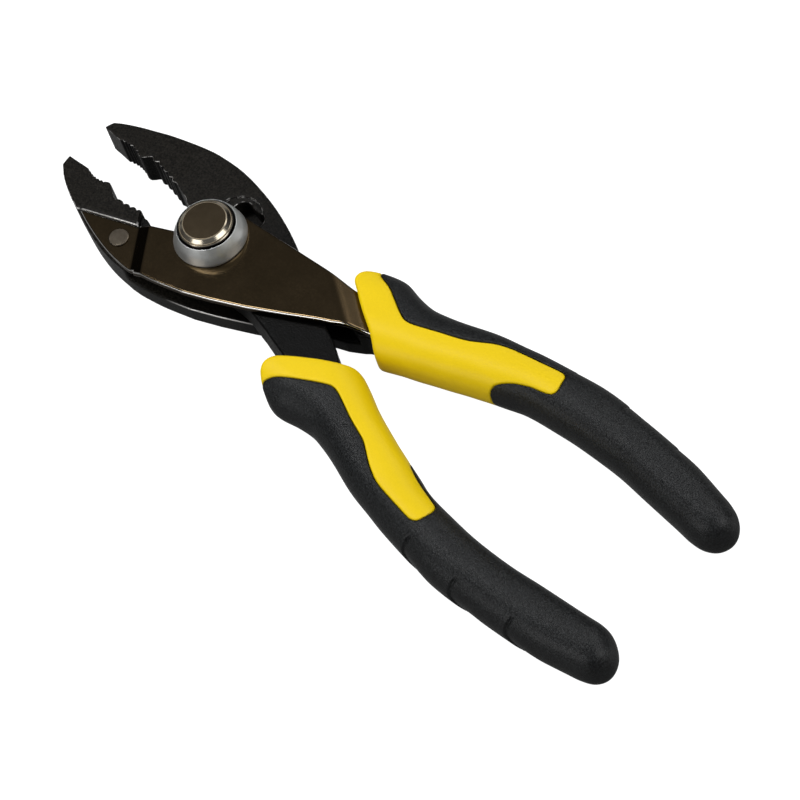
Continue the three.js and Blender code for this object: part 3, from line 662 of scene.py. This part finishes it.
# ------------------------------------------------------------------------------------------------ forgings
def fixed_jaw():
    xs = axis_points((-50, -14, 0.16), (-14, 58, 0.26), (58, 118, 0.9))
    ys = axis_points((-20.2, 27.2, 0.24))
    zs = axis_points((-0.5, 1.6, 0.2), (1.6, 7.6, 0.4), (7.6, 11.0, 0.2))
    X, Y, Z = xs[:, None, None], ys[None, :, None], zs[None, None, :]
    zt = 5.2 + (Z - 5.2) / tip_thin(X)
    body = EDGE + [(-11.0, -4.3)] + arc(0, 0, 9.0, 200, 135, 12) + SLOT_COVER + [(37.0, 11.4), (46.0, 13.6), (48.1, 5.3), (46.5, 4.1)] + LOWER_EDGE[1:] + FIX_OUTER
    d2 = np.minimum(poly_field(xs, ys, body), poly_field(xs, ys, tang_outline()))[:, :, None]
    r = edge_radius(xs, ys, EDGE, 0.2, 0.55)[:, :, None]
    # steps on the front side, each reaching past the outline
    front = [(-60, 10), (-21.9, 10), (-21.6, -4.4), (-20.5, -6.4), (-18.65, -8.45), (-34.9, -14.2), (-39.0, -22.0), (-60, -22)]
    under = [(-60, 10), (-15.8, 10), (-15.2, -8.0), (-12.9, -17.2), (-12.6, -30), (-60, -30)]
    root = [(25.6, 10.5), (30.0, 8.6), (38.4, 5.3), (46.0, 4.2), (48.0, 0.0), (130, 0), (130, 40), (30, 40)]
    top = rmax(poly_field(xs, ys, front)[:, :, None], zt - JAW_TOP, 0.8)
    top = smin(top, rmax(poly_field(xs, ys, under)[:, :, None], zt - 8.3, 0.25), 0.25)
    top = smin(top, rmax(poly_field(xs, ys, root)[:, :, None], Z - 8.3, 0.25), 0.6)
    top = smin(top, Z - CHEEK_TOP, 0.35)
    f = rmax(d2, top, r)
    low = np.where(X < -10, -zt, np.where(X < 57, -Z, -Z + 1.5 * smooth((X - 57) / 4)))
    f = rmax(f, low.astype(F32), r)
    rad = np.sqrt(X * X + Y * Y)
    f = rmax(f, 3.85 - rad, 0.15)
    f = rmax(f, -np.maximum(rad - 6.42, Z - 1.85), 0.15)
    f = np.maximum(f, 1.75 - np.sqrt((X - RIVET[0]) ** 2 + (Y - RIVET[1]) ** 2))
    for tx, ty in ((46.6, 8.9), (52.8, 11.0)):
        f = np.maximum(f, 1.55 - np.sqrt((X - tx) ** 2 + (Y - ty) ** 2))
    return field_object("fixed_jaw_forging", f, xs, ys, zs)


def slot_field(xs, ys):
    c, s = math.cos(math.radians(5)), math.sin(math.radians(5))
    local = arc(0, 0, 4.95, 180, 360, 24) + arc(2.35, 10.9, 2.6, 0, 120, 10) + arc(-2.35, 10.9, 2.6, 60, 180, 10)
    return poly_field(xs, ys, [(x * c + y * s, -x * s + y * c) for x, y in local])


def moving_jaw():
    xs = axis_points((-50, -14, 0.16), (-14, 58, 0.26), (58, 118, 0.9))
    ys = axis_points((-27.2, 19.8, 0.24))
    zs = axis_points((-0.5, 1.6, 0.2), (1.6, 4.8, 0.4), (4.8, 6.0, 0.2), (6.0, 8.8, 0.4), (8.8, 11.0, 0.2))
    X, Y, Z = xs[:, None, None], ys[None, :, None], zs[None, None, :]
    zt = 5.2 + (Z - 5.2) / tip_thin(X)
    layer = MOV_EDGE + [(-13.3, 3.4)] + arc(0, 0, 9.2, 162, 288, 24) + [(12.0, -7.9), (18.0, -7.6), (21.8, -7.9), (25.3, -8.6), (28.8, -9.3), (32.6, -10.3), (37.2, -11.4), (46.0, -13.6)] + MOV_OUTER
    d2 = np.minimum(poly_field(xs, ys, layer), poly_field(xs, ys, mirrored(tang_outline())))[:, :, None]
    bulge = smooth((X - 11) / 4) * smooth((44 - X) / 5) * smooth((-4 - Y) / 3)
    d2 = (d2 - 0.95 * bulge * np.clip(1 - np.abs(Z - 5.3) / 5.2, 0, 1)).astype(F32)
    r = edge_radius(xs, ys, MOV_EDGE, 0.2, 0.5)[:, :, None]
    jaw = [(-60, 0), (-15.4, 0), (-15.0, 4.9), (-13.4, 5.6), (-10.6, 6.6), (-10.6, 30), (-60, 30)]
    root = [(25.8, -9.2), (29.2, -7.8), (37.4, -4.3), (43.0, -2.4), (48.0, 0.0), (130, 0), (130, -40), (24, -40)]
    low = rmax(poly_field(xs, ys, jaw)[:, :, None], -zt, 0.5)
    low = smin(low, rmax(poly_field(xs, ys, root)[:, :, None], (-Z + 1.5 * smooth((X - 57) / 4)).astype(F32), 0.5), 0.5)
    low = smin(low, LAYER_Z0 - Z, 0.35)
    f = rmax(d2, low, r)
    # the layer under the plate lies a touch lower than the tang, along a line beside the plate
    shelf = 0.24 * smooth(((Y + 3.5) * 0.899 - (X - 32.1) * 0.439 + 0.2) / 0.4) * smooth((X - 20) / 3)
    top = np.where(X < -10, zt - JAW_TOP, Z - JAW_TOP + shelf + 2.0 * smooth((X - 57) / 4))
    f = rmax(f, top.astype(F32), r)
    slot = slot_field(xs, ys)[:, :, None]
    f = rmax(f, -slot, 0.2)
    sink = np.maximum(np.sqrt((X + 0.6) ** 2 + (Y - 8.5) ** 2) - 6.3, 9.75 - Z)
    f = rmax(f, -sink, 0.2)
    return field_object("moving_jaw_forging", f, xs, ys, zs)


def front_plate():
    xs = axis_points((-35.4, 58.0, 0.22))
    ys = axis_points((-19.6, 16.2, 0.22))
    zs = axis_points((8.0, 13.1, 0.17))
    X, Y, Z = xs[:, None, None], ys[None, :, None], zs[None, None, :]
    outline = [(-34.1, -14.42), (-18.55, -8.82), (-14.5, -7.0)] + arc(0, 0, 9.5, 207, 76, 28) + [(37.8, 11.8), (46.0, 12.9), (55.0, 15.2), (56.5, 11.0), (54.0, 7.6), (49.8, 5.5), (47.0, 4.5), (44.4, 3.3), (42.6, 2.35), (40.8, 1.3)] \
        + LOWER_EDGE[3:-1] + catmull([(-9.2, -18.4), (-11.1, -18.75), (-14.6, -18.7), (-18.9, -18.3), (-23.7, -17.4), (-29.1, -16.0), (-33.6, -14.5)], 4)
    d2 = poly_field(xs, ys, outline)[:, :, None]

    def beyond(p, d):
        l = math.hypot(*d)
        return (-(X - p[0]) * d[1] + (Y - p[1]) * d[0]) / l

    def step(u, bend):
        """A straight flank from 0 to 1 between two bends."""
        t = np.clip(u, -bend, 1 + bend)
        t = np.where(t < bend, np.maximum(t + bend, 0) ** 2 / (4 * bend), np.where(t > 1 - bend, 1 - np.maximum(1 + bend - t, 0) ** 2 / (4 * bend), t))
        return np.clip(t, 0, 1)
    rise = np.minimum(step(beyond((-18.3, -8.3), (7.3, -9.2)) / 3.5, 0.09), step(beyond((37.8, 12.15), (-9.7, 5.8)) / 4.2, 0.36))
    top = PAD_TOP + (PLATE_TOP - PAD_TOP) * rise
    slab = np.abs(Z - (top - PLATE_T / 2)) - PLATE_T / 2
    f = rmax(d2, slab.astype(F32), 0.47)
    f = np.maximum(f, 3.85 - np.sqrt(X * X + Y * Y))
    f = np.maximum(f, 1.75 - np.sqrt((X - RIVET[0]) ** 2 + (Y - RIVET[1]) ** 2))
    return field_object("front_plate_pressing", f, xs, ys, zs)


# ------------------------------------------------------------------------------------------------ grips
OUTER = [(37.0, 18.4), (38.6, 20.4), (41.5, 21.9), (45.5, 22.1), (50.1, 21.2), (54.6, 20.8), (58.0, 21.2), (63.8, 22.6), (72.7, 25.4), (80.4, 26.95), (86.3, 28.1), (96.0, 29.45), (103.0, 30.2), (109.7, 30.25), (116.6, 29.75), (124.6, 29.25), (133.0, 28.45), (142.1, 26.65), (146.0, 25.75), (148.9, 24.4), (150.6, 22.1)]
INNER = [(150.8, 19.4), (149.4, 16.6), (146.6, 14.6), (143.2, 13.9), (137.7, 14.4), (126.1, 15.4), (116.9, 16.3), (106.6, 16.5), (98.1, 15.9), (90.3, 15.0), (84.8, 13.4), (78.0, 11.25), (71.1, 8.8), (66.0, 7.0), (60.0, 4.6)]
SPLIT_FIXED = [(38.9, 21.3), (40.0, 19.3), (42.0, 18.2), (44.1, 17.3), (48.2, 15.3), (51.5, 13.7), (53.6, 12.9), (55.2, 12.75), (57.5, 13.4), (60.9, 14.7), (63.6, 15.7), (66.6, 16.7), (70.0, 18.05), (72.9, 19.7), (76.0, 21.6), (79.5, 22.9), (82.9, 23.65), (86.9, 24.4), (92.0, 25.4), (93.8, 25.6), (95.0, 25.1), (95.7, 23.4), (96.3, 21.4), (95.9, 20.1), (94.8, 19.5), (92.9, 19.0), (90.1, 18.35), (86.2, 16.75), (83.0, 14.6), (81.7, 12.9), (81.6, 11.4)]
SPLIT_MOVING = [(38.9, 21.3), (39.7, 19.0), (41.6, 17.0), (45.2, 14.9), (49.5, 12.6), (52.9, 10.95), (54.4, 10.65), (56.0, 10.9), (58.9, 12.0), (63.6, 13.95), (67.3, 15.2), (69.5, 15.95), (70.9, 16.65), (72.6, 17.75), (75.1, 19.35), (77.4, 20.6), (80.8, 21.95), (86.5, 22.9), (91.2, 23.55), (93.1, 23.65), (94.5, 23.1), (95.1, 22.0), (95.5, 19.9), (95.3, 18.5), (94.4, 17.4), (92.4, 16.75), (90.0, 16.05), (87.9, 15.5), (85.7, 14.85), (83.7, 14.1), (81.5, 13.1), (79.8, 11.9)]
SCOOPS = (94.8, 110.4, 126.9)


def grip_fields():
    """Grid and fields of a grip on the +Y side: the smooth body, the core's window on each half, the tang and the scoops."""
    xs = axis_points((33.4, 153.0, 0.28))
    ys = axis_points((0.6, 32.6, 0.28))
    zs = axis_points((-3.2, 13.6, 0.28))
    X, Y, Z = xs[:, None, None], ys[None, :, None], zs[None, None, :]
    long = catmull([(20.0, 22.0), (30.0, 22.6), (36.5, 22.6), (41.5, 22.2)] + OUTER[3:] + INNER + [(54.0, 2.2), (46.0, -0.4), (30.0, -4.0), (20.0, -6.0)], 5)
    d2 = poly_field(xs, ys, long)
    half = 7.3 + 1.4 * smooth((66 - xs) / 16)
    t = np.clip(-d2 / half[:, None], 0, 1)[:, :, None]
    out = np.maximum(d2, 0)[:, :, None] / 7.3
    n = (2.45 - 0.15 * smooth((66 - xs) / 18))[:, None, None]
    tall = (7.15 + 0.35 * smooth((62 - xs) / 14))[:, None, None]
    g = np.power(np.abs(Z - GRIP_Z) / tall, n) + np.power(1 - t + out, n) - 1
    gx, gy, gz = np.gradient(g, xs, ys, zs)
    body = g / np.maximum(np.sqrt(gx * gx + gy * gy + gz * gz), 0.05)
    del gx, gy, gz
    body = np.clip(body, -6, 6).astype(F32)
    # slanted front with round corners in plan, its rim rounded
    front = catmull([(38.0, 19.5), (36.7, 18.2), (36.0, 16.8), (35.95, 15.4), (36.5, 13.9), (37.7, 12.6), (40.8, 10.4), (45.0, 7.85), (48.0, 6.1), (50.4, 4.5), (52.0, 3.2), (53.4, 2.35), (57.0, 1.6)], 6)
    clip = front + [(70, -20), (160, -20), (160, 60), (60, 60), (46.5, 25.0), (43.6, 22.9), (41.0, 21.5), (39.3, 20.5)]
    body = rmax(body, poly_field(xs, ys, clip)[:, :, None], 1.0)
    win = [poly_field(xs, ys, [(28, 8), (28, 26), (38.7, 26)] + catmull(line, 5) + [(80.5, 0), (46, 0)])[:, :, None] for line in (SPLIT_FIXED, SPLIT_MOVING)]
    tang = poly_field(xs, ys, tang_outline())[:, :, None]
    front_room = [(28, -4), (28, 17.5), (37.0, 16.6), (46.0, 14.1), (55.3, 15.6), (57, 11), (54.2, 7.2), (49.8, 5.0), (46.5, 3.2), (40, -2)]
    tang = np.minimum(np.maximum(tang, np.maximum(np.where(X < 60, -Z, 1.5 - Z), Z - np.where(X < 60, 10.4, 8.4))),
                      np.maximum(poly_field(xs, ys, front_room)[:, :, None], np.maximum(-Z, Z - 10.4)))
    # shallow scoops on the outer side: a step at a curved front edge that runs out toward the rear
    outer_side = smooth((Y - 22.5) / 1.5)
    cut = np.zeros(body.shape, F32)
    for x0 in SCOOPS:
        s = X - (x0 + np.where(Z > 6, 0.026, 0.16) * (Z - 6.0) ** 2)
        reach = smooth((6.4 - np.abs(Z - 5.4)) / 1.6)
        dent = 0.36 * np.clip(1 - s / 7.0, 0, 1) * smooth((s + 0.25) / 0.5)
        line = 0.42 * np.clip(1 - np.abs(s - 0.10) / 0.40, 0, 1)
        cut = np.maximum(cut, (dent + line) * reach * outer_side)
    return xs, ys, zs, body, win, tang.astype(F32), cut.astype(F32)


def flipped(obj):
    """Mirror a mesh to the -Y side."""
    obj.data.transform(Matrix.Scale(-1, 4, (0, 1, 0)))
    obj.data.flip_normals()


def eased(obj, move):
    """Shift the points of a mesh by move(x, y) -> (dx, dy), all in millimetres."""
    co = np.empty(len(obj.data.vertices) * 3, F32)
    obj.data.vertices.foreach_get("co", co)
    co = co.reshape(-1, 3)
    dx, dy = move(co[:, 0] / MM, co[:, 1] / MM)
    co[:, 0] += dx * MM
    co[:, 1] += dy * MM
    obj.data.vertices.foreach_set("co", co.ravel())
    obj.data.update()


def fixed_shape(x, y):
    """The fixed grip is a little shorter, its lip stands squarer and its tail is slimmer inside."""
    waist = smooth((x - 58) / 6) * (1 - smooth((x - 82) / 8)) * smooth((14 - y) / 6)
    tail = smooth((x - 105) / 20) * (1 - smooth((x - 143) / 7)) * smooth((21 - y) / 5)
    corner = smooth((46 - x) / 8) * smooth((y - 11) / 5)
    heel = smooth((58 - x) / 8) * smooth((9 - y) / 4)
    return 0.45 * heel - 1.6 * smooth((x - 60) / 85), 0.55 * tail - 1.0 * corner - 0.25 * waist


def moving_shape(x, y):
    return 0.0 * x, 0.3 * smooth((x - 58) / 6) * (1 - smooth((x - 82) / 8)) * smooth((14 - y) / 6)


def grip(half, fields, win):
    """The soft cover and the hard core of one grip, both on the +Y side."""
    xs, ys, zs, body, _, tang, cut = fields
    if half == "fixed":                    # its scoops are shallower, the first one least deep
        cut = cut * (0.18 + 0.32 * smooth((xs - 103) / 3))[:, None, None].astype(F32)
    # the seam closes up where it runs over the inner side
    seam = (1 - 0.75 * smooth((xs - 74) / 4)[:, None] * smooth((15.8 - ys) / 1.5)[None, :])[:, :, None].astype(F32)
    cover = rmax(body + cut, 0.10 - win, 0.32 * seam)
    cover = np.maximum(cover, -(body + 2.2))
    cover = np.maximum(cover, -(tang - 0.3))
    core = rmax(body + 0.10 * seam, win + 0.04, 0.30 * seam)
    core = np.minimum(core, np.maximum(body + 2.45, xs[:, None, None] - 117.0))
    core = np.maximum(core, -(tang - 0.3))
    return field_object(half + "_grip_soft_cover", cover.astype(F32), xs, ys, zs), field_object(half + "_grip_hard_core", core.astype(F32), xs, ys, zs)


def grips():
    fields = grip_fields()
    a, b = grip("fixed", fields, fields[4][0])
    c, d = grip("moving", fields, fields[4][1])
    for piece in (a, b):
        eased(piece, fixed_shape)
    for piece in (c, d):
        eased(piece, moving_shape)
        flipped(piece)
    dress(a, "black_rubber", "fixed_half", "fixed_grip_cover")
    dress(b, "yellow_plastic", "fixed_half", "fixed_grip_core")
    dress(c, "black_rubber", "moving_half", "moving_grip_cover")
    dress(d, "yellow_plastic", "moving_half", "moving_grip_core")


# ------------------------------------------------------------------------------------------------ turned pieces
def turned():
    prof = rounded([(3.85, 12.58), (9.1, 12.58), (9.2, 13.2), (8.45, 15.5), (7.46, 17.5), (7.32, 17.5), (7.32, 13.4), (3.85, 13.4)], [0.1, 0.2, 0.3, 9.0, 0.12, 0.05, 0.1, 0.1], 6)
    dress(lathe_object("pivot_collar_cone", prof, 160), "satin_zinc", "pivot_lock", "pivot_collar")
    prof = [(0.0, 18.2), (6.1, 18.2), (6.1, 15.7), (7.05, 15.7), (7.05, 17.6), (6.95, 17.74), (6.56, 18.06), (6.47, 18.06), (6.43, 18.26), (6.30, 18.30), (5.54, 19.06), (5.36, 19.16), (5.26, 19.2), (0.0, 19.22)]
    rad = [0, 0.2, 0.1, 0.1, 0.1, 0.06, 0.04, 0.02, 0.04, 0.04, 0.04, 0.03, 0.03, 0]
    dress(lathe_object("push_button_cap", rounded(prof, rad), 160), "black_nickel", "button", "push_button", material="button_nickel")
    prof = rounded([(0.0, 0.1), (1.5, 0.1), (1.5, 10.55), (2.55, 10.55), (2.55, 10.8), (2.35, 10.9), (0.0, 10.86)], [0, 0.1, 0.05, 0.03, 0.1, 0.12, 0])
    dress(lathe_object("jaw_rivet_head", prof, 96, RIVET), "rivet_steel", "fixed_half", "jaw_rivet")


def spring():
    turns, wire, mean, z0, z1 = 3, 0.4, 5.0, 13.9, 17.8
    n, m = 72 * turns, 14
    verts, faces = [], []
    for i in range(n + 1):
        t = i / n
        a = 2 * math.pi * turns * t
        z = z0 + (z1 - z0) * t
        for j in range(m):
            b = 2 * math.pi * j / m
            r = mean + wire * math.cos(b)
            verts.append((r * math.cos(a), r * math.sin(a), z + wire * math.sin(b)))
    for i in range(n):
        for j in range(m):
            k = (j + 1) % m
            faces.append((i * m + j, (i + 1) * m + j, (i + 1) * m + k, i * m + k))
    obj = mesh_object("button_spring_coil", verts, faces)
    bm = bmesh.new()
    bm.from_mesh(obj.data)
    bmesh.ops.holes_fill(bm, edges=[e for e in bm.edges if e.is_boundary], sides=0)
    bmesh.ops.recalc_face_normals(bm, faces=bm.faces)
    bm.to_mesh(obj.data)
    bm.free()
    dress(obj, "spring_steel", "button", "button_spring")
    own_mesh(obj)


# ------------------------------------------------------------------------------------------------ assembly
dress(fixed_jaw(), "black_steel", "fixed_half", "fixed_jaw")
dress(moving_jaw(), "black_steel", "moving_half", "moving_jaw")
dress(front_plate(), "black_nickel", "fixed_half", "front_plate")
grips()
turned()
spring()
for node, slot in (("tail_rivet_front", "rivet_steel"), ("tail_rivet_rear", "rivet_steel"), ("pivot_barrel", "pin_steel"), ("retaining_ring", "spring_steel"),
                   ("button_stem", "pin_steel"), ("cross_pin", "pin_steel"), ("lock_key", "pin_steel")):
    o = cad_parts[node]
    o.data.materials.clear()
    o.data.materials.append(MAT[slot])
    bev = o.modifiers.new("soft_edges", "BEVEL")
    bev.width, bev.segments, bev.limit_method, bev.angle_limit = 0.00012, 2, "ANGLE", math.radians(40)

# ------------------------------------------------------------------------------------------------ stage, light, camera
FLOOR_Z = -2.4


def stage():
    s = 1.6
    n = 24
    mesh = bpy.data.meshes.new("studio_floor")
    verts = [((i / n - 0.5) * s, (j / n - 0.5) * s, FLOOR_Z * MM) for i in range(n + 1) for j in range(n + 1)]
    faces = [(i * (n + 1) + j, (i + 1) * (n + 1) + j, (i + 1) * (n + 1) + j + 1, i * (n + 1) + j + 1) for i in range(n) for j in range(n)]
    mesh.from_pydata(verts, [], faces)
    floor = bpy.data.objects.new("studio_floor", mesh)
    bpy.context.scene.collection.objects.link(floor)
    m, nt, b, tc = base_material("pale_floor")
    v = mapping(nt, tc, 20.0)
    col = mix_colour(nt, noise(nt, v, 1.0, 3).outputs["Fac"], (0.22, 0.22, 0.22), (0.24, 0.24, 0.24))
    nt.links.new(col, b.inputs["Base Color"])
    b.inputs["Roughness"].default_value = 0.9
    b.inputs["Specular IOR Level"].default_value = 0.1
    b.inputs["Emission Color"].default_value = (1, 1, 1, 1)
    b.inputs["Emission Strength"].default_value = 1.0
    floor.data.materials.append(m)
    floor.visible_glossy = False
    floor.visible_diffuse = False


def area(name, at, to, size, power, colour=(1, 1, 1)):
    d = bpy.data.lights.new(name, "AREA")
    d.shape = "RECTANGLE"
    d.size, d.size_y = size
    d.energy = power
    d.color = colour
    o = bpy.data.objects.new(name, d)
    bpy.context.scene.collection.objects.link(o)
    o.location = at
    o.rotation_euler = (Vector(to) - Vector(at)).to_track_quat("-Z", "Y").to_euler()
    return o


stage()
world = bpy.data.worlds.new("studio")
bpy.context.scene.world = world
world.use_nodes = True
wt = world.node_tree
where = wt.nodes.new("ShaderNodeTexCoord")
split = wt.nodes.new("ShaderNodeSeparateXYZ")
wt.links.new(where.outputs["Generated"], split.inputs[0])
height = remap(wt, split.outputs[2], 0.0, 1.0, -1.0, 1.0)
sky = ramp(wt, height.outputs[0], [(0.0, (0.12, 0.12, 0.12)), (0.14, (0.12, 0.12, 0.12)), (0.26, (0.34, 0.34, 0.335)), (0.43, (0.34, 0.34, 0.335)), (0.50, (0.012, 0.012, 0.012)), (0.62, (0.014, 0.014, 0.015)), (0.78, (0.15, 0.155, 0.165)), (1.0, (0.24, 0.25, 0.265))])

# a pale card behind that the plate's rear bend catches, two white cards low beside the tool, the pale floor and a grey wall on the left
cards = sky.outputs["Color"]
for card, near, white in (((-0.185, 0.778, 0.597), (0.94, 0.985), 0.6), ((-0.138, -0.942, -0.298), (0.94, 0.975), 1.0), ((0.612, 0.719, -0.320), (0.94, 0.975), 1.0), ((-0.495, 0.259, -0.829), (0.86, 0.97), 0.42), ((-0.42, -0.90, 0.12), (0.70, 0.93), 0.13)):
    toward = wt.nodes.new("ShaderNodeVectorMath")
    toward.operation = "DOT_PRODUCT"
    toward.inputs[1].default_value = card
    wt.links.new(where.outputs["Generated"], toward.inputs[0])
    cards = mix_colour(wt, ramp(wt, toward.outputs["Value"], [(near[0], (0, 0, 0)), (near[1], (1, 1, 1))]).outputs["Color"], cards, (white, white, white))
wt.links.new(cards, wt.nodes["Background"].inputs["Color"])

# camera: a long lens from the button side, turned with the photograph's roll
phi, elev, roll = math.radians(62.4), math.radians(56.0), math.radians(20.0)
u_w = Vector((math.cos(phi), math.sin(phi), 0))
v_w = Vector((math.sin(phi), -math.cos(phi), 0))
z_w = Vector((0, 0, 1))
back = z_w * math.sin(elev) + v_w * math.cos(elev)
down = v_w * math.sin(elev) - z_w * math.cos(elev)
right = u_w * math.cos(roll) + down * math.sin(roll)
up = u_w * math.sin(roll) - down * math.cos(roll)
target = Vector((0.06497, -0.00111, 0.0052))
cam = bpy.data.cameras.new("camera")
cam.lens, cam.sensor_width = 135.0, 36.0
cam.clip_start, cam.clip_end = 0.05, 10
camera = bpy.data.objects.new("camera", cam)
bpy.context.scene.collection.objects.link(camera)
place = Matrix((right, up, back)).transposed().to_4x4()
place.translation = target + back * 0.692
camera.matrix_world = place
bpy.context.scene.camera = camera

mid = Vector((0.05, 0.0, 0.0))
area("key_softbox", mid + Vector((-0.38, -0.29, 0.51)), mid, (0.34, 0.34), 1.8).visible_glossy = False
area("ridge_softbox", Vector((-0.20, -0.03, 0.545)), mid, (0.12, 0.12), 0.9)
area("left_softbox", mid + Vector((-0.02, -0.58, 0.29)), mid, (0.36, 0.30), 1.15)
area("right_softbox", mid + Vector((0.53, 0.18, 0.41)), mid, (0.46, 0.40), 1.9)
area("back_softbox", mid + Vector((-0.42, 0.45, 0.29)), mid, (0.50, 0.26), 0.7).visible_glossy = False
area("top_softbox", mid + Vector((-0.02, 0.44, 0.54)), mid, (0.24, 0.24), 0.9)

view = bpy.context.scene.view_settings
view.view_transform = "Standard"
